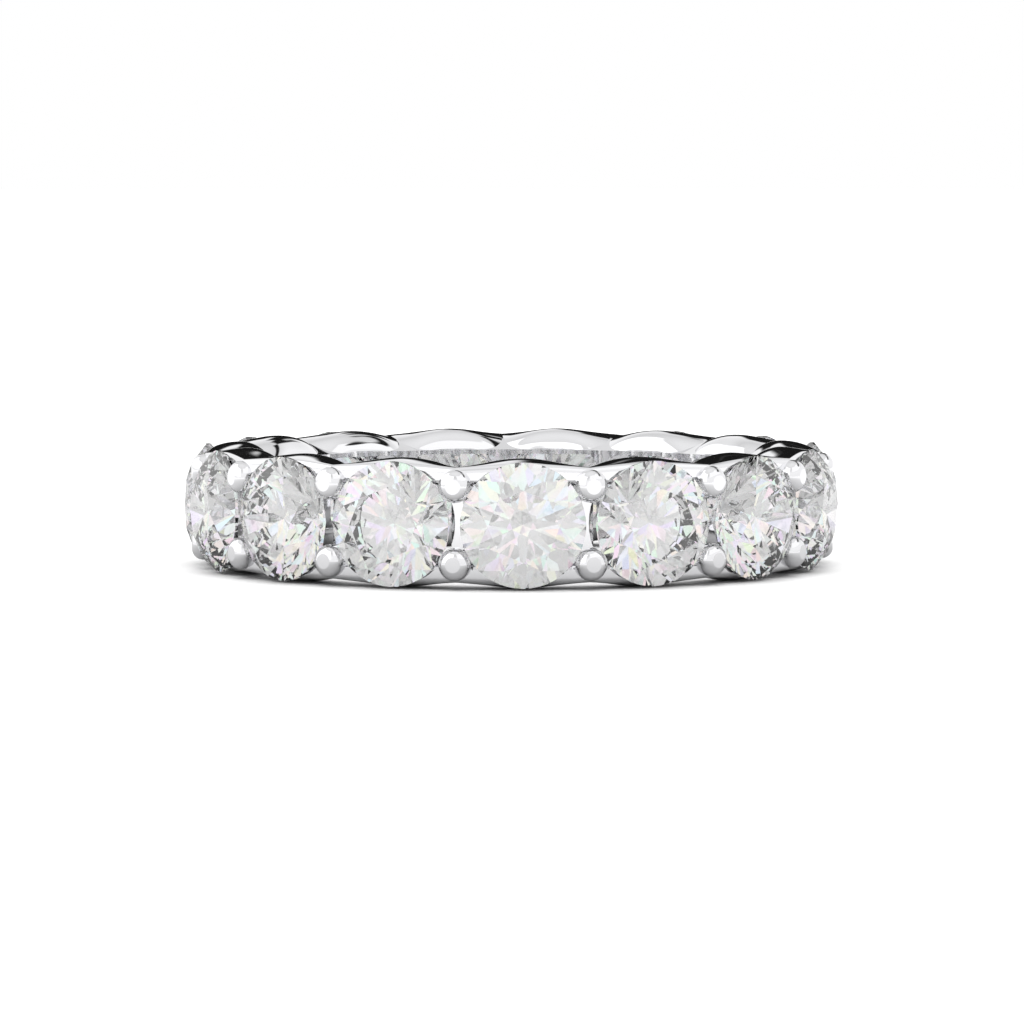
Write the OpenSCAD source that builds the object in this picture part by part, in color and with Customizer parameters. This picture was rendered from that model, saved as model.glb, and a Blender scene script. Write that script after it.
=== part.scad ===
// Full eternity ring: a circle of round brilliants between two scalloped rails, with shared prongs.
// The ring lies on its side. +Z is the finger's axis, the lower rail rests on z = 0, and stone 1 faces -Y.

/* [Finger] */
// Diameter of the finger hole
finger_d = 17; // [15:0.1:20]

/* [Stones] */
// Number of stones round the ring
stone_count = 15; // [13:1:17]
// Space between neighbouring stones at their girdles
girdle_gap = 0.36; // [0.3:0.01:0.5]
// Distance from the finger hole to the point of each stone
culet_cover = 0.18; // [0.1:0.01:0.4]
// Girdle thickness at its sixteen thick places
girdle_t = 0.15; // [0.12:0.01:0.2]
// Width of the table, as a share of the stone's width
table_share = 0.57; // [0.53:0.01:0.6]
// Angle of the crown's main facets
crown_angle = 34.5; // [33:0.5:36]
// Angle of the pavilion's main facets
pavilion_angle = 40.75; // [40:0.25:41.5]
// Length of the star facets, as a share of the way from table to girdle
star_share = 0.5; // [0.45:0.01:0.55]
// Length of the lower halves, as a share of the way from girdle to point
lower_share = 0.77; // [0.7:0.01:0.85]
// Space left between a stone and the metal round it
stone_gap = 0.02; // [0.01:0.01:0.04]

/* [Rails] */
// Height of each arch's crest over the edge of its stone
rail_cover = 0.07; // [0.05:0.01:0.3]
// Drop of each arch from its crest to the joint with the next
scallop = 0.26; // [0.15:0.01:0.35]
// Distance from the middle of the girdle in to the rail's outer face
rail_setback = 0.12; // [0.1:0.01:0.2]
// Distance from the rail's outer face in to the crest
crest_in = 0.95; // [0.8:0.01:1.1]
// Fall of the arch from its crest to the outer face
outer_fall = 0.19; // [0.1:0.01:0.3]
// Rounding of the rail's outer top edge
rail_round = 0.25; // [0.1:0.01:0.28]
// Height of the rail's finger side, below the sill
band_h = 0.15; // [0.1:0.01:0.3]
// Height of the arches' inner edges over the edge of the sill
dome_edge_h = 0.16; // [0.06:0.01:0.25]
// Slope of the sill that shows between the arches on the finger side
sill_angle = 20; // [12:1:24]

/* [Gallery] */
// Open height between the rails at the finger side
gallery_h = 2.5; // [2.2:0.05:2.7]
// Open height between the rails at their outer faces
gallery_outer_h = 2.92; // [2.7:0.02:3.1]
// Width of the slope under each rail's outer edge
gallery_slope_w = 0.5; // [0.3:0.05:0.7]
// Thickness of the posts that join the rails between the stones
post_t = 0.38; // [0.3:0.01:0.5]
// Distance from the middle of the girdle in to the post's outer face
post_setback = 0.32; // [0.25:0.01:0.5]
// Rounding between posts and rails
post_fillet = 0.45; // [0.2:0.05:0.6]

/* [Prongs] */
// Diameter of each prong
prong_d = 1.08; // [1:0.01:1.2]
// Diameter of the flat on each prong's tip
prong_flat_d = 0.5; // [0.4:0.02:0.8]
// Distance that the tips stand out past the middle of the girdle
prong_stand = 0.52; // [0.4:0.02:0.6]
// Distance that each prong reaches over the edges of its two stones
prong_grip = 0.02; // [0.01:0.01:0.05]
// Distance that each prong runs in past the post's outer face
prong_root = 0.25; // [0.2:0.01:0.3]

/* [Hidden] */
$fn = 144;
pitch = 360 / stone_count;
half_pitch = pitch / 2;
finger_r = finger_d / 2;

// Stones that just fill the circle outside the finger hole, with their gaps
stone_r = ((finger_r + culet_cover + girdle_t / 2) * sin(half_pitch) - girdle_gap / 2)
    / (cos(half_pitch) - tan(pavilion_angle) * sin(half_pitch));
pavilion_h = stone_r * tan(pavilion_angle);
girdle_y = finger_r + culet_cover + pavilion_h + girdle_t / 2;
table_r = stone_r * table_share;
crown_h = (stone_r - table_r) * tan(crown_angle);

// The brilliant cut has eight mains, and a girdle of three flats to each half facet
mains = 8;
main_pitch = 360 / mains;
half_steps = 3;
girdle_steps = 2 * mains * half_steps;
star_r = table_r * cos(main_pitch / 2) * (1 - star_share) + stone_r * star_share;
star_z = girdle_t / 2 + (stone_r - star_r * cos(main_pitch / 2)) * tan(crown_angle);
lower_r = stone_r * (1 - lower_share);
culet_z = -girdle_t / 2 - pavilion_h;
lower_z = culet_z + lower_r * cos(main_pitch / 2) * tan(pavilion_angle);

// Rails, by height above the ring's middle plane and distance from its axis
crest_z = stone_r + rail_cover;
face_y = girdle_y - rail_setback;
crest_y = face_y - crest_in;
sill_z = gallery_h / 2 + band_h;
dome_rise = crest_z - sill_z - dome_edge_h;
dome_run = crest_y - finger_r;
dome_r = (dome_run * dome_run + dome_rise * dome_rise) / (2 * dome_rise);
outer_r = (crest_in * crest_in + outer_fall * outer_fall) / (2 * outer_fall);
round_turn = asin((crest_in - rail_round) / (outer_r - rail_round));
half_span = crest_y * tan(half_pitch);
bend_r = (half_span * half_span + scallop * scallop) / (2 * scallop);
bend_z = crest_z - bend_r;
rail_low_z = gallery_h / 2 - post_fillet;
slope_y = face_y - gallery_slope_w;
gallery_slope = (gallery_outer_h - gallery_h) / 2 / gallery_slope_w;

// Posts and prongs
post_y = girdle_y - post_setback;
prong_r = prong_d / 2;
prong_flat_r = prong_flat_d / 2;
prong_round = prong_r - prong_flat_r;
prong_tip_y = girdle_y + prong_stand;
prong_reach = stone_r + prong_r - prong_grip;
joint_x = girdle_y * tan(half_pitch);
prong_z = sqrt(prong_reach * prong_reach - joint_x * joint_x);

// Run of a tool past the face that it cuts, and of neighbouring shares of the rails into each other
over = 0.3;
lap = 0.05;

// Height of the sill's underside over the arches' own
sill_bite = 0.02;

// Run of the posts' fillets into the rails, and their end's distance in from the rails' slope
fillet_bite = 0.01;
fillet_end_in = 0.1;

function two_digits(k) = str(k < 10 ? "0" : "", k);

// Turns what faces +X to the place of stone k
module at_place(k) {
    rotate([0, 0, (k - 1) * pitch - 90]) children();
}

function on_circle(r, angle, z) = [r * cos(angle), r * sin(angle), z];

// Height at which a half facet through inner meets the girdle, turned by turn from its main
function facet_z(turn, edge_z, inner) =
    let (
        main = on_circle(stone_r, 0, edge_z),
        between = on_circle(stone_r, main_pitch / 2, edge_z),
        normal = cross(between - main, inner - main),
        spot = on_circle(stone_r, turn, 0) - main
    )
    edge_z - (normal.x * spot.x + normal.y * spot.y) / normal.z;

// Angle from the nearest main facet, for each flat of the girdle
function from_main(i) =
    let (turn = (i * 360 / girdle_steps) % main_pitch)
    min(turn, main_pitch - turn);

// Round brilliant with its table towards +Z and the middle of its girdle at the origin
module brilliant() {
    star = on_circle(star_r, main_pitch / 2, star_z);
    lower = on_circle(lower_r, main_pitch / 2, lower_z);
    top_z = girdle_t / 2 + crown_h;
    edge_z = girdle_t / 2;
    turns = [for (i = [0:girdle_steps - 1]) i * 360 / girdle_steps];
    table_at = 0;
    star_at = mains;
    upper_at = 2 * mains;
    under_at = upper_at + girdle_steps;
    lower_at = under_at + girdle_steps;
    culet_at = lower_at + mains;
    points = concat(
        [for (j = [0:mains - 1]) on_circle(table_r, j * main_pitch, top_z)],
        [for (j = [0:mains - 1]) on_circle(star_r, (j + 0.5) * main_pitch, star_z)],
        [for (i = [0:girdle_steps - 1]) on_circle(stone_r, turns[i], facet_z(from_main(i), edge_z, star))],
        [for (i = [0:girdle_steps - 1]) on_circle(stone_r, turns[i], facet_z(from_main(i), -edge_z, lower))],
        [for (j = [0:mains - 1]) on_circle(lower_r, (j + 0.5) * main_pitch, lower_z)],
        [[0, 0, culet_z]]
    );
    faces = concat(
        [[for (j = [mains - 1:-1:0]) table_at + j]],
        [for (j = [0:mains - 1]) [table_at + (j + 1) % mains, star_at + j, table_at + j]],
        [for (j = [0:mains - 1])
            [star_at + j, upper_at + 2 * half_steps * j, star_at + (j + mains - 1) % mains, table_at + j]],
        [for (h = [0:2 * mains - 1]) concat(
            [for (i = [half_steps:-1:0]) upper_at + (h * half_steps + i) % girdle_steps],
            [star_at + floor(h / 2)])],
        [for (i = [0:girdle_steps - 1])
            let (next = (i + 1) % girdle_steps)
            [upper_at + i, upper_at + next, under_at + next, under_at + i]],
        [for (h = [0:2 * mains - 1]) concat(
            [lower_at + floor(h / 2)],
            [for (i = [0:half_steps]) under_at + (h * half_steps + i) % girdle_steps])],
        [for (j = [0:mains - 1])
            [culet_at, lower_at + (j + mains - 1) % mains, under_at + 2 * half_steps * j, lower_at + j]]
    );
    polyhedron(points, faces);
}

// One stone in its place, with its table facing out
module stone(k) {
    color([0.93, 0.96, 1])
        at_place(k) translate([girdle_y, 0, crest_z]) rotate([0, 90, 0]) brilliant();
}

// Space that a stone needs in the metal: two cones and the girdle, with stone_gap all round
module stone_space() {
    edge_r = stone_r + stone_gap;
    edge_z = girdle_t / 2 + stone_gap;
    crown_slope = (star_z - girdle_t / 2) / (stone_r - star_r);
    lower_slope = (-girdle_t / 2 - lower_z) / (stone_r - lower_r);
    translate([girdle_y, 0, 0]) rotate([0, 90, 0]) rotate_extrude()
        polygon([
            [0, -edge_z - edge_r * lower_slope],
            [edge_r, -edge_z],
            [edge_r, edge_z],
            [edge_r - crown_h / crown_slope, edge_z + crown_h],
            [0, edge_z + crown_h]
        ]);
}

// Section of a rail's arch: x is the height over the bend's axis, y the distance from the ring's axis
module arch_section() {
    low_x = rail_low_z - bend_z;
    crest_x = bend_r;
    round_x = crest_x - outer_r + (outer_r - rail_round) * cos(round_turn);
    intersection() {
        translate([crest_x - dome_r, crest_y]) circle(r = dome_r);
        translate([low_x, finger_r - over]) square([crest_x - low_x, crest_y - finger_r + over]);
    }
    intersection() {
        translate([crest_x - outer_r, crest_y]) circle(r = outer_r);
        translate([low_x, crest_y]) square([crest_x - low_x, outer_r * sin(round_turn)]);
    }
    translate([low_x, crest_y]) square([round_x - low_x, face_y - crest_y]);
    translate([round_x, face_y - rail_round]) circle(r = rail_round);
}

// Wedge of one stone's share of the ring, from inside the gallery up
module share() {
    low_z = gallery_h / 2 - over;
    reach = face_y + over;
    side = reach * tan(half_pitch) + lap;
    translate([0, 0, low_z]) linear_extrude(height = crest_z + over - low_z)
        polygon([[0, 0], [reach, -side], [reach, side]]);
}

// Sloping ring inside the arches, which shows between them on the finger side
module sill() {
    rise = tan(sill_angle);
    start_y = finger_r - 2 * over;
    low_z = gallery_h / 2 + sill_bite;
    rotate_extrude()
        polygon([
            [start_y, low_z],
            [start_y, sill_z - 2 * over * rise],
            [crest_y, sill_z + dome_run * rise],
            [crest_y, low_z]
        ]);
}

// Space under the rail over one stone, down to the middle plane
module gallery_space() {
    start_y = finger_r - 3 * over;
    end_y = face_y + 2 * over;
    side = end_y * tan(half_pitch);
    translate([0, side, 0]) rotate([90, 0, 0]) linear_extrude(height = 2 * side)
        polygon([
            [start_y, 0],
            [start_y, gallery_h / 2],
            [slope_y, gallery_h / 2],
            [end_y, gallery_h / 2 + (end_y - slope_y) * gallery_slope],
            [end_y, 0]
        ]);
}

// Rail over one stone: an arch bent round the stone's own axis
module rail() {
    difference() {
        intersection() {
            translate([0, 0, bend_z]) rotate([0, 90, 0]) rotate_extrude() arch_section();
            share();
        }
        gallery_space();
    }
}

// Post that joins the two rails between neighbouring stones, with its fillets
module post() {
    start_y = finger_r - over;
    high = gallery_h + band_h;
    wide = post_t + 2 * post_fillet;
    side_x = post_t / 2 + post_fillet;
    straight = gallery_h / 2 - post_fillet + fillet_bite;
    translate([start_y, -post_t / 2, -high / 2]) cube([post_y - start_y, post_t, high]);
    translate([start_y, 0, 0]) rotate([90, 0, 90]) linear_extrude(height = slope_y - fillet_end_in - start_y)
        difference() {
            square([wide, high], center = true);
            for (side = [-1, 1]) {
                translate([side * side_x, 0]) square([2 * post_fillet, 2 * straight], center = true);
                for (end = [-1, 1])
                    translate([side * side_x, end * straight]) circle(r = post_fillet);
            }
        }
}

// Round prong with a rounded edge and a flat tip
module prong() {
    start_y = post_y - prong_root;
    long = prong_tip_y - start_y;
    translate([start_y, 0, prong_z]) rotate([0, 90, 0]) rotate_extrude() {
        square([prong_flat_r, long]);
        square([prong_r, long - prong_round]);
        translate([prong_flat_r, long - prong_round])
            intersection() {
                circle(r = prong_round);
                square(2 * prong_round);
            }
    }
}

// One stone's share of the cast metal, with the post and the prongs at its left
module metal_share() {
    difference() {
        union() {
            rail();
            mirror([0, 0, 1]) rail();
            rotate([0, 0, half_pitch]) {
                post();
                prong();
                mirror([0, 0, 1]) prong();
            }
        }
        stone_space();
        rotate([0, 0, pitch]) stone_space();
    }
}

// The cast setting: rails with their sills, posts and prongs in one piece, bored to the finger's size
module setting() {
    color([0.82, 0.83, 0.85]) translate([0, 0, crest_z])
        difference() {
            union() {
                for (k = [1:stone_count]) at_place(k) metal_share();
                sill();
                mirror([0, 0, 1]) sill();
            }
            translate([0, 0, -2 * crest_z]) cylinder(r = finger_r, h = 4 * crest_z);
        }
}

setting();
for (k = [1:stone_count])
    stone(k);
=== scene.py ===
"""Full eternity ring on its side: round brilliants between two scalloped rails of polished white gold."""
import math

import bpy
from mathutils import Matrix, Vector


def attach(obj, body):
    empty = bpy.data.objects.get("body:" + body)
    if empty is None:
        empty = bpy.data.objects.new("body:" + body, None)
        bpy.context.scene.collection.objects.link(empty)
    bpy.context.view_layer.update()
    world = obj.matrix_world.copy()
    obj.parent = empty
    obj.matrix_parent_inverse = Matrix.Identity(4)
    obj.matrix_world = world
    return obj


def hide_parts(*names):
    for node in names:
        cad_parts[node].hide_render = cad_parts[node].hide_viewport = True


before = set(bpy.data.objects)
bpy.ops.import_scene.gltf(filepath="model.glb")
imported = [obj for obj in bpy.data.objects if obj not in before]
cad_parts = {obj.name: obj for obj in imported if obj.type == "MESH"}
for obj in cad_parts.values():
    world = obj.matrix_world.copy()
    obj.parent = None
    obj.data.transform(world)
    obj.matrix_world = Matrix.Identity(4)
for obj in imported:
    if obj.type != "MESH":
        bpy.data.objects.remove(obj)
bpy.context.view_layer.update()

# The ring's own sizes in millimetres, as the solids have them
STONES = 15
PITCH = math.radians(360 / STONES)
HALF_PITCH = PITCH / 2
FINGER_R = 8.5
STONE_R = 2.0529
GIRDLE_Y = 10.5236
GIRDLE_T = 0.15
CROWN_H = 0.6067
PAVILION_H = 1.7689
SEAT_GAP = 0.02
CREST_Z = 2.1229
CREST_Y = 9.45
FACE_Y = 10.4036
RAIL_ROUND = 0.25
OUTER_R = 2.47
SILL_Z = 1.4
SILL_TOP_Y = 9.45
SILL_RISE = math.tan(math.radians(20))
SILL_ROOT_Z = 0.8
RAIL_ROOT_Z = 0.7
GALLERY_Z = 1.25
SLOPE_Y = 9.9036
SLOPE_TILT = math.atan(0.42)
POST_T = 0.38
POST_Y = 10.2036
POST_FILLET = 0.45
POST_RECESS = 0.1
PRONG_R = 0.54
PRONG_FLAT_R = 0.25
PRONG_Z = 1.2708
PRONG_ROOT_Y = 9.9
PRONG_TIP_Y = 11.0436
PRONG_DOME_TURN = math.radians(74)

# The stone's turned outline at its table and its culet, as shares of the seat's width
TABLE_SHARE = 0.654
CULET_SHARE = 0.02

# The arches begin a hair behind the finger wall, this far over the sill
DOME_SETBACK = 0.02
DOME_EDGE_H = 0.04

# Between two stones the arches dip: a little at the outer face, more towards the finger,
# where the dip is also narrower
DIP_OUTSIDE = 0.07
DIP_GROWTH = 0.31
DIP_POWER_OUTSIDE = 1.6
DIP_POWER_INSIDE = 4.0

# Each share of the ring is made this much too wide, then cut where it meets the next. The sill and the posts
# end elsewhere than the rail, so that no two end faces lie in one plane.
SPARE = math.radians(1)
SILL_SPARE = 1.3 * SPARE
POST_SPARE = 0.7 * SPARE

# How finely curves are drawn
LATHE_STEPS = 22
DOME_STEPS = 20
OUTER_STEPS = 9
ROUND_STEPS = 11
FILLET_STEPS = 14
PRONG_SIDES = 68
PRONG_RINGS = 16
SEAT_SIDES = 120
SMOOTH_TURN = math.radians(9)

# Posts run this far into the rails, and their windows' cutting block runs this far past them
POST_BITE = 0.06
WINDOW_OVER = 0.4

# Points nearer than this where two shares meet are one point
WELD = 0.002

MM = 0.001

# The photograph's view: turn and rise in degrees, and lengths in millimetres
VIEW_TURN = -1.95
VIEW_RISE = 3.93
VIEW_AWAY = 178.4
VIEW_AIM_Z = 1.845
LENS = 181.9
SENSOR = 36

# Noise is scaled by the metre: the polishing haze has patches of about 1.1 mm, and the cast skin has waves of
# about 2.4 mm. Both are coarser than on a real ring, to show in the picture.
HAZE_SCALE = 900
SKIN_SCALE = 420
SKIN_WAVE = 0.004

# What the metal sees round it: a pale tent, and panels on it, each as (left, right, low, high, strength) in
# degrees. Left and right turn clockwise from straight behind the ring, and low and high are heights.
TENT = ((0.0, 0.95), (0.4, 1.0), (0.75, 0.7), (1.0, 0.9))
PANELS = (
    (-160, -38, 6, 60, 1.3),
    (74, 178, 30, 66, 1.1),
    (-10, 14, 2, 21, 0.01),
    (2, 14, 19, 35, 0.01),
    (10, 26, 28, 43, 0.01),
    (26, 84, 42, 51, 0.01),
)
PANEL_EDGE = 4

# What the stones see, and what lights the floor, from the horizon, 0, to straight up, 1. The stones split
# what they see into faint colours, by the share FIRE, in patches of about 1 / FIRE_SCALE radian.
FIRE = 0.45
FIRE_SCALE = 50
CLOTH = ((0.0, 0.9), (0.5, 0.95), (1.0, 0.85))
ABOVE = ((0.0, 0.35), (0.4, 0.7), (1.0, 2.4))

# The floor's painted shade in the metal, darkest near the ring, fades between these distances from the ring's
# middle, in millimetres. The floor itself is this wide, in metres.
NEAR, FAR = 12, 40
FLOOR_SIZE = 4

# Light turns often inside a brilliant
BOUNCES = {"max_bounces": 24, "transmission_bounces": 24, "glossy_bounces": 8}


def only(piece):
    """Selects one piece and makes it the one that operators work on."""
    bpy.ops.object.select_all(action="DESELECT")
    piece.select_set(True)
    bpy.context.view_layer.objects.active = piece


def settle(piece):
    """Moves a piece's place, turn and size into its mesh."""
    only(piece)
    bpy.ops.object.transform_apply(location=True, rotation=True, scale=True)


def turn_out(piece):
    """Points all faces of a closed piece outwards."""
    only(piece)
    bpy.ops.object.mode_set(mode="EDIT")
    bpy.ops.mesh.select_all(action="SELECT")
    bpy.ops.mesh.normals_make_consistent(inside=False)
    bpy.ops.object.mode_set(mode="OBJECT")


def cut(piece, point, normal, fill):
    """Cuts off what lies on the normal's side of a plane."""
    only(piece)
    bpy.ops.object.mode_set(mode="EDIT")
    bpy.ops.mesh.select_all(action="SELECT")
    bpy.ops.mesh.bisect(plane_co=point, plane_no=normal, use_fill=fill, clear_outer=True, threshold=1e-5)
    bpy.ops.object.mode_set(mode="OBJECT")


def combine(piece, tool, operation):
    """Joins a tool piece to another, or cuts it out, and takes the tool away."""
    only(piece)
    change = piece.modifiers.new(operation.title(), "BOOLEAN")
    change.operation = operation
    change.solver = "EXACT"
    change.object = tool
    bpy.ops.object.modifier_apply(modifier=change.name)
    bpy.data.objects.remove(tool)


def bevel_edges(piece, width, segments, wanted):
    """Rounds the edges whose two ends meet wanted."""
    only(piece)
    for group in (piece.data.polygons, piece.data.vertices):
        group.foreach_set("select", [False] * len(group))
    for edge in piece.data.edges:
        edge.select = wanted(*(piece.data.vertices[i].co for i in edge.vertices))
    bpy.ops.object.mode_set(mode="EDIT")
    bpy.ops.mesh.select_mode(type="EDGE")
    bpy.ops.mesh.bevel(offset=width, segments=segments, affect="EDGES")
    bpy.ops.object.mode_set(mode="OBJECT")


def arc(middle, r, start, end, steps):
    """Points of an arc, angles in degrees."""
    turns = [math.radians(start + (end - start) * i / steps) for i in range(steps + 1)]
    return [(middle[0] + r * math.cos(turn), middle[1] + r * math.sin(turn)) for turn in turns]


def lathed(name, section, spare):
    """Spins a section, given as distances from the ring's axis and heights, through half a stone's share and
    a spare angle at both ends."""
    bpy.ops.mesh.primitive_circle_add(vertices=len(section), fill_type="NGON")
    piece = bpy.context.object
    piece.name = name
    for point, (y, z) in zip(piece.data.vertices, section):
        point.co = (0, -y, z)
    piece.rotation_euler.z = -spare
    settle(piece)
    bpy.ops.object.mode_set(mode="EDIT")
    bpy.ops.mesh.select_all(action="SELECT")
    bpy.ops.mesh.spin(steps=LATHE_STEPS, angle=-HALF_PITCH - 2 * spare, center=(0, 0, 0), axis=(0, 0, 1))
    bpy.ops.object.mode_set(mode="OBJECT")
    turn_out(piece)
    return piece


def arch_drop(y, angle):
    """How far the rail's top lies under its section's height, at an angle from the middle of the stone."""
    inward = max(0, min(1, (FACE_Y - y) / (FACE_Y - FINGER_R)))
    power = DIP_POWER_OUTSIDE + (DIP_POWER_INSIDE - DIP_POWER_OUTSIDE) * inward ** 3
    return (DIP_OUTSIDE + DIP_GROWTH * (FACE_Y - y)) * min(1, abs(angle) / HALF_PITCH) ** power


def rail_share():
    """Upper rail over half a stone: a cushion, flat outside, that dips towards the next stone."""
    inner_y = FINGER_R + DOME_SETBACK
    run = CREST_Y - inner_y
    rise = CREST_Z - SILL_Z - DOME_EDGE_H
    dome_r = (run * run + rise * rise) / (2 * rise)
    edge_turn = 90 + math.degrees(math.asin(run / dome_r))
    round_y = FACE_Y - RAIL_ROUND
    round_turn = 90 - math.degrees(math.asin((round_y - CREST_Y) / (OUTER_R - RAIL_ROUND)))
    round_z = CREST_Z - OUTER_R + (OUTER_R - RAIL_ROUND) * math.sin(math.radians(round_turn))
    rail = lathed("rail", [
        (inner_y, RAIL_ROOT_Z),
        *arc((CREST_Y, CREST_Z - dome_r), dome_r, edge_turn, 90, DOME_STEPS),
        *arc((CREST_Y, CREST_Z - OUTER_R), OUTER_R, 90, round_turn, OUTER_STEPS)[1:],
        *arc((round_y, round_z), RAIL_ROUND, round_turn, 0, ROUND_STEPS)[1:],
        (FACE_Y, RAIL_ROOT_Z),
    ], SPARE)
    for point in rail.data.vertices:
        y = math.hypot(point.co.x, point.co.y)
        angle = math.atan2(point.co.x, -point.co.y)
        out = min(1, max(0, (y - FINGER_R) / (FACE_Y - FINGER_R)))
        grow = 1 + out * out * (3 - 2 * out) * (1 / math.cos(angle) - 1)
        drop = arch_drop(y, angle) if point.co.z > SILL_ROOT_Z else 0
        point.co = (point.co.x * grow, point.co.y * grow, point.co.z - drop)
    sill = lathed("sill", [
        (FINGER_R, SILL_ROOT_Z),
        (FINGER_R, SILL_Z),
        (SILL_TOP_Y, SILL_Z + (SILL_TOP_Y - FINGER_R) * SILL_RISE),
        (SILL_TOP_Y, SILL_ROOT_Z),
    ], SILL_SPARE)
    combine(rail, sill, "UNION")
    cut(rail, (0, 0, GALLERY_Z), (0, 0, -1), fill=True)
    cut(rail, (0, -SLOPE_Y, GALLERY_Z), (0, -math.sin(SLOPE_TILT), -math.cos(SLOPE_TILT)), fill=True)
    return rail


def post_share():
    """Half of a post, left of a wall when the gallery's window is cut through it."""
    wall = lathed("post", [
        (FINGER_R + POST_RECESS, -GALLERY_Z - POST_BITE),
        (FINGER_R + POST_RECESS, GALLERY_Z + POST_BITE),
        (POST_Y, GALLERY_Z + POST_BITE),
        (POST_Y, -GALLERY_Z - POST_BITE),
    ], POST_SPARE)
    bpy.ops.mesh.primitive_cube_add(size=2)
    window = bpy.context.object
    for point in window.data.vertices:
        y = FINGER_R - WINDOW_OVER if point.co.y > 0 else POST_Y + WINDOW_OVER
        side = y * math.tan(HALF_PITCH) - POST_T / 2 / math.cos(HALF_PITCH)
        point.co = (side * point.co.x, -y, GALLERY_Z * point.co.z)
    bevel_edges(window, POST_FILLET, FILLET_STEPS, lambda a, b: (a.y > -POST_Y) != (b.y > -POST_Y))
    combine(wall, window, "DIFFERENCE")
    return wall


def prong(up):
    """A round prong where two stones meet, domed over to a small flat that is filed across its tip."""
    dome_r = (PRONG_R - PRONG_FLAT_R) / (1 - math.cos(PRONG_DOME_TURN))
    dome_y = PRONG_TIP_Y - dome_r * math.sin(PRONG_DOME_TURN)
    bpy.ops.mesh.primitive_cylinder_add(
        vertices=PRONG_SIDES, radius=PRONG_R, depth=dome_y - PRONG_ROOT_Y,
        location=(0, -(dome_y + PRONG_ROOT_Y) / 2, up * PRONG_Z), rotation=(math.pi / 2, 0, 0))
    piece = bpy.context.object
    settle(piece)
    for group in (piece.data.edges, piece.data.vertices):
        group.foreach_set("select", [False] * len(group))
    for face in piece.data.polygons:
        face.select = face.normal.y < -0.9
    bpy.ops.object.mode_set(mode="EDIT")
    bpy.ops.mesh.select_mode(type="FACE")
    width, out = PRONG_R, dome_y
    dome = arc((PRONG_R - dome_r, dome_y), dome_r, 0, math.degrees(PRONG_DOME_TURN), PRONG_RINGS)
    for r, y in dome[1:]:
        bpy.ops.mesh.extrude_region_move(TRANSFORM_OT_translate={"value": (0, out - y, 0)})
        bpy.ops.transform.resize(value=(r / width, 1, r / width), center_override=(0, -y, up * PRONG_Z))
        width, out = r, y
    bpy.ops.object.mode_set(mode="OBJECT")
    turn_out(piece)
    piece.rotation_euler.z = HALF_PITCH
    settle(piece)
    return piece


def stone_seat():
    """The space that a stone and its gap take out of the metal: the girdle, the crown and the point."""
    bpy.ops.mesh.primitive_cylinder_add(
        vertices=SEAT_SIDES, radius=STONE_R + SEAT_GAP, depth=GIRDLE_T + 2 * SEAT_GAP,
        location=(0, -GIRDLE_Y, 0), rotation=(math.pi / 2, 0, 0))
    seat = bpy.context.object
    settle(seat)
    for out, depth, keep in ((True, CROWN_H, TABLE_SHARE), (False, PAVILION_H, CULET_SHARE)):
        for group in (seat.data.edges, seat.data.vertices):
            group.foreach_set("select", [False] * len(group))
        for face in seat.data.polygons:
            away = -GIRDLE_Y - face.center.y
            face.select = abs(face.normal.y) > 0.9 and abs(away) < GIRDLE_T and (away > 0) == out
        bpy.ops.object.mode_set(mode="EDIT")
        bpy.ops.mesh.select_mode(type="FACE")
        bpy.ops.mesh.extrude_region_move(TRANSFORM_OT_translate={"value": (0, -depth if out else depth, 0)})
        bpy.ops.transform.resize(value=(keep, 1, keep), center_override=(0, -GIRDLE_Y, 0))
        bpy.ops.object.mode_set(mode="OBJECT")
    turn_out(seat)
    return seat


def build_setting():
    """The cast setting: half a stone's share, mirrored and carried round the finger."""
    share = rail_share()
    only(share)
    bpy.ops.object.duplicate()
    lower = bpy.context.object
    lower.scale.z = -1
    settle(lower)
    turn_out(lower)
    combine(share, lower, "UNION")
    combine(share, post_share(), "UNION")
    for up in (1, -1):
        combine(share, prong(up), "UNION")
    combine(share, stone_seat(), "DIFFERENCE")
    cut(share, (0, 0, 0), (-1, 0, 0), fill=False)
    cut(share, (0, 0, 0), (math.cos(HALF_PITCH), math.sin(HALF_PITCH), 0), fill=False)

    copies = []
    for number in range(STONES):
        for side in (1, -1):
            copy = bpy.data.objects.new("share", share.data.copy())
            bpy.context.collection.objects.link(copy)
            copy.matrix_world = (
                Matrix.Translation((0, 0, CREST_Z * MM))
                @ Matrix.Rotation(number * PITCH, 4, "Z")
                @ Matrix.Diagonal((side * MM, MM, MM, 1)))
            copies.append(copy)
    bpy.data.objects.remove(share)
    bpy.ops.object.select_all(action="DESELECT")
    for copy in copies:
        copy.select_set(True)
    bpy.context.view_layer.objects.active = copies[0]
    bpy.ops.object.transform_apply(location=True, rotation=True, scale=True)
    bpy.ops.object.join()
    ring = bpy.context.object
    bpy.ops.object.mode_set(mode="EDIT")
    bpy.ops.mesh.select_all(action="SELECT")
    bpy.ops.mesh.remove_doubles(threshold=WELD * MM)
    bpy.ops.mesh.normals_make_consistent(inside=False)
    bpy.ops.object.mode_set(mode="OBJECT")
    bpy.ops.object.shade_smooth_by_angle(angle=SMOOTH_TURN)
    ring.name = ring.data.name = "cast_setting"
    return ring


def linear(colour):
    """An sRGB hex colour as linear RGBA."""
    parts = [int(colour[i:i + 2], 16) / 255 for i in (1, 3, 5)]
    return [p / 12.92 if p <= 0.04045 else ((p + 0.055) / 1.055) ** 2.4 for p in parts] + [1]


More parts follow.
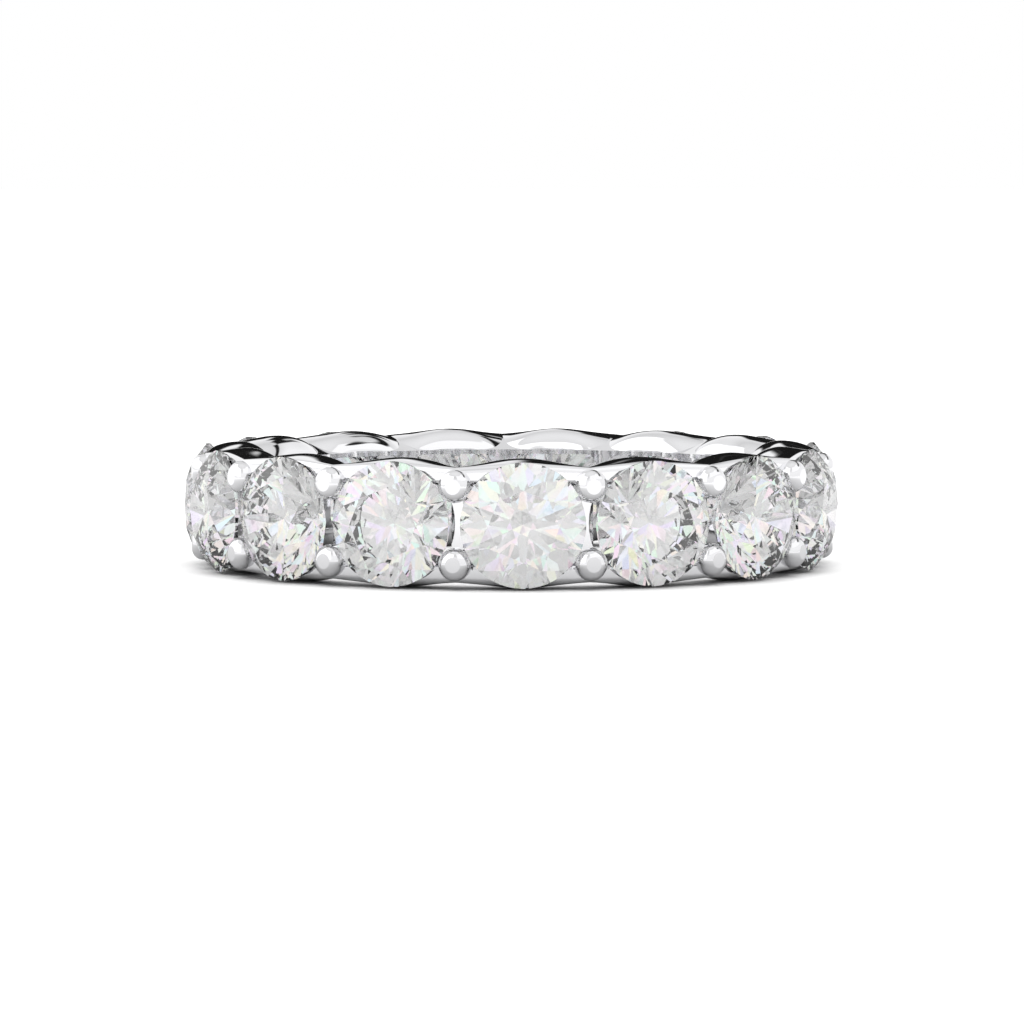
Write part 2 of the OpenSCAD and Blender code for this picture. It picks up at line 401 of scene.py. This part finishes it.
def add(tree, kind, settings=()):
    """Adds a node with its settings, {name or input number: value}. Another node's output is linked."""
    node = tree.nodes.new(kind)
    for key, value in dict(settings).items():
        if isinstance(value, bpy.types.NodeSocket):
            tree.links.new(value, node.inputs[key])
        elif isinstance(key, int) or key in node.inputs:
            node.inputs[key].default_value = value
        else:
            setattr(node, key, value)
    return node


def finish_of(name):
    """A new material, and its tree with no node in it."""
    material = bpy.data.materials.new(name)
    material.use_nodes = True
    tree = material.node_tree
    tree.nodes.clear()
    return material, tree


def rhodium_plated_white_gold():
    """18 ct white gold, cast, mirror-polished and rhodium-plated: neutral and bright, with a faint haze left
    by the polishing wheel and a cast surface that isn't quite flat."""
    material, tree = finish_of("rhodium_plated_white_gold")
    place = add(tree, "ShaderNodeTexCoord")
    haze = add(tree, "ShaderNodeTexNoise", {
        "Scale": HAZE_SCALE, "Detail": 4, "Roughness": 0.6, "Vector": place.outputs["Object"]})
    rough = add(tree, "ShaderNodeMapRange", {"To Min": 0.03, "To Max": 0.075, "Value": haze.outputs["Fac"]})
    skin = add(tree, "ShaderNodeTexNoise", {
        "Scale": SKIN_SCALE, "Detail": 1, "Vector": place.outputs["Object"]})
    bump = add(tree, "ShaderNodeBump", {
        "Strength": 0.25, "Distance": SKIN_WAVE * MM, "Height": skin.outputs["Fac"]})
    metal = add(tree, "ShaderNodeBsdfPrincipled", {
        "Base Color": linear("#F3F3F5"), "Metallic": 1,
        "Roughness": rough.outputs["Result"], "Normal": bump.outputs["Normal"]})
    add(tree, "ShaderNodeOutputMaterial", {"Surface": metal.outputs["BSDF"]})
    return material


def brilliant_diamond():
    """Colourless diamond, cut and polished: flat mirror-like facets, and an index that sends most light
    back."""
    material, tree = finish_of("brilliant_diamond")
    stone = add(tree, "ShaderNodeBsdfPrincipled", {
        "Base Color": linear("#FFFFFF"), "Roughness": 0.0, "IOR": 2.418, "Transmission Weight": 1})
    add(tree, "ShaderNodeOutputMaterial", {"Surface": stone.outputs["BSDF"]})
    return material


def white_board():
    """Matt white photographer's board. The camera sees it fully lit, as a white page. The stones see it with
    painted shade, an even pale grey. The metal also sees painted shade, a grey that is darkest near the ring
    and brightens away from it, as painted light where the softboxes stand over the board."""
    material, tree = finish_of("white_board")
    ray = add(tree, "ShaderNodeLightPath")
    place = add(tree, "ShaderNodeTexCoord")
    away = add(tree, "ShaderNodeVectorMath", {"operation": "LENGTH", 0: place.outputs["Object"]})
    # Painted shade: in the metal the board is a darker grey near the ring, as a painted shadow under it, and
    # a paler grey further away, as painted light
    painted_shade_fade = add(tree, "ShaderNodeMapRange", {
        "From Min": NEAR * MM, "From Max": FAR * MM, "Value": away.outputs["Value"]})
    painted_shade_grey = add(tree, "ShaderNodeMix", {
        "data_type": "RGBA", "Factor": painted_shade_fade.outputs["Result"], 6: linear("#B2B2B2"), 7: linear("#E2E2E2")})
    painted_shade_in_metal = add(tree, "ShaderNodeBsdfDiffuse", {"Color": painted_shade_grey.outputs[2]})
    # Painted shade: through the stones the board is an even pale grey, a shaded copy of the white page
    painted_shade_in_stones = add(tree, "ShaderNodeBsdfDiffuse", {"Color": linear("#E2E2E2")})
    page = add(tree, "ShaderNodeBsdfDiffuse", {"Color": linear("#FFFFFF")})
    through = add(tree, "ShaderNodeMath", {
        "operation": "GREATER_THAN", 0: ray.outputs["Transmission Depth"], 1: 0.5})
    painted_shade_seen = add(tree, "ShaderNodeMixShader", {
        0: through.outputs["Value"], 1: painted_shade_in_metal.outputs["BSDF"], 2: painted_shade_in_stones.outputs["BSDF"]})
    board = add(tree, "ShaderNodeMixShader", {
        0: ray.outputs["Is Camera Ray"], 1: painted_shade_seen.outputs["Shader"], 2: page.outputs["BSDF"]})
    add(tree, "ShaderNodeOutputMaterial", {"Surface": board.outputs["Shader"]})
    return material


def place_camera():
    """The photograph's view: 4 degrees above the ring's middle plane, from 178 mm."""
    turn, rise, away = math.radians(VIEW_TURN), math.radians(VIEW_RISE), VIEW_AWAY * MM
    aim = Vector((0, 0, VIEW_AIM_Z * MM))
    back = Vector((math.sin(turn) * math.cos(rise), -math.cos(turn) * math.cos(rise), math.sin(rise)))
    data = bpy.data.cameras.new("camera")
    data.sensor_width = SENSOR
    data.lens = LENS
    data.clip_start = 0.005
    camera = bpy.data.objects.new("camera", data)
    bpy.context.collection.objects.link(camera)
    camera.location = aim + away * back
    camera.rotation_euler = back.to_track_quat("Z", "Y").to_euler()
    bpy.context.scene.camera = camera


def panel_on(tree, tent, turn, rise, panel):
    """The tent with one soft-edged panel on it."""
    left, right, low, high, strength = panel
    mask = 1
    for value, start, end in ((turn, left, right), (rise, low, high)):
        for edge, inside in ((start, 1), (end, -1)):
            soft = add(tree, "ShaderNodeMapRange", {
                "interpolation_type": "SMOOTHSTEP",
                "From Min": math.radians(edge - inside * PANEL_EDGE / 2),
                "From Max": math.radians(edge + inside * PANEL_EDGE / 2),
                "Value": value})
            both = add(tree, "ShaderNodeMath", {"operation": "MULTIPLY", 0: mask, 1: soft.outputs["Result"]})
            mask = both.outputs["Value"]
    return add(tree, "ShaderNodeMix", {"data_type": "FLOAT", "Factor": mask, 2: tent, 3: strength}).outputs[0]


def light_studio():
    """A white tent round the ring. The metal sees its softboxes and a dark gap beside them, which draw its
    edges; the stones see its pale cloth; the floor is lit mostly from above; and behind it all is white."""
    bpy.context.scene.view_settings.view_transform = "Standard"
    for kind, bounces in BOUNCES.items():
        setattr(bpy.context.scene.cycles, kind, bounces)
    bpy.ops.mesh.primitive_plane_add(size=FLOOR_SIZE)
    floor = bpy.context.object
    floor.name = "floor"
    floor.data.materials.append(white_board())

    world = bpy.data.worlds.new("tent")
    bpy.context.scene.world = world
    world.use_nodes = True
    tree = world.node_tree
    tree.nodes.clear()
    place = add(tree, "ShaderNodeTexCoord")
    parts = add(tree, "ShaderNodeSeparateXYZ", {"Vector": place.outputs["Generated"]})
    turn = add(tree, "ShaderNodeMath", {"operation": "ARCTAN2", 0: parts.outputs["X"], 1: parts.outputs["Y"]})
    rise = add(tree, "ShaderNodeMath", {"operation": "ARCSINE", 0: parts.outputs["Z"]})
    shades = []
    for stops in (ABOVE, TENT, CLOTH):
        ramp = add(tree, "ShaderNodeValToRGB", {"Fac": parts.outputs["Z"]})
        while len(ramp.color_ramp.elements) < len(stops):
            ramp.color_ramp.elements.new(0.5)
        for element, (spot, shade) in zip(ramp.color_ramp.elements, stops):
            element.position = spot
            element.color = (shade, shade, shade, 1)
        shades.append(ramp.outputs["Color"])
    above, softboxes, cloth = shades
    for panel in PANELS:
        softboxes = panel_on(tree, softboxes, turn.outputs["Value"], rise.outputs["Value"], panel)
    fire = add(tree, "ShaderNodeTexNoise", {
        "Scale": FIRE_SCALE, "Detail": 2, "Vector": place.outputs["Generated"]})
    fiery = add(tree, "ShaderNodeMix", {
        "data_type": "RGBA", "blend_type": "LINEAR_LIGHT", "Factor": FIRE,
        6: cloth, 7: fire.outputs["Color"]})

    ray = add(tree, "ShaderNodeLightPath")
    through = add(tree, "ShaderNodeMath", {
        "operation": "GREATER_THAN", 0: ray.outputs["Transmission Depth"], 1: 0.5})
    light = add(tree, "ShaderNodeBackground", {"Color": above}).outputs["Background"]
    for chance, shade in (
            (ray.outputs["Is Camera Ray"], linear("#FFFFFF")),
            (ray.outputs["Is Glossy Ray"], softboxes),
            (through.outputs["Value"], fiery.outputs[2])):
        other = add(tree, "ShaderNodeBackground", {"Color": shade})
        light = add(tree, "ShaderNodeMixShader", {
            0: chance, 1: light, 2: other.outputs["Background"]}).outputs["Shader"]
    add(tree, "ShaderNodeOutputWorld", {"Surface": light})


metal = rhodium_plated_white_gold()
setting = build_setting()
setting.data.materials.clear()
setting.data.materials.append(metal)
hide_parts("setting")
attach(setting, "root")

diamond = brilliant_diamond()
for number in range(1, STONES + 1):
    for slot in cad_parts[f"stone_{number:02d}"].material_slots:
        slot.material = diamond

place_camera()
light_studio()
